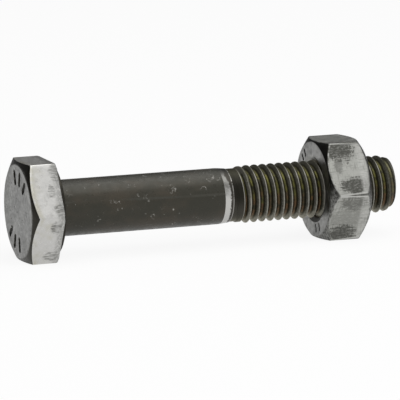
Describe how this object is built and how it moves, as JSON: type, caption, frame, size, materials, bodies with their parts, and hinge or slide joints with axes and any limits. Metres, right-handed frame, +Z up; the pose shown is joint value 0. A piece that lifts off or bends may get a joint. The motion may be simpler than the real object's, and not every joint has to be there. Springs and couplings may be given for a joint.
{
  "type": "hex bolt with nut",
  "caption": "Hexagon-head steel bolt with a plain shank and a rolled thread, with a hexagon nut that runs along the thread to clamp parts.",
  "frame": {"origin": "centre of the face that the head clamps with, on the bolt's axis", "axes": "+X along the bolt from the head to the point, +Z up with the bolt lying on a flat of its head and of its nut"},
  "size_m": [0.0668, 0.0196, 0.0168],
  "materials": {
    "bolt_steel": "plain rolled steel, oiled and handled",
    "nut_steel": "plain pressed steel, worn"
  },
  "bodies": {
    "bolt": {"bolt": "bolt_steel"},
    "nut": {"nut": "nut_steel"}
  },
  "joints": [
    {"name": "nut_travel", "type": "slide", "parent": "bolt", "child": "nut", "axis": [1, 0, 0], "range_m": [-0.0135, 0.0135]}
  ]
}
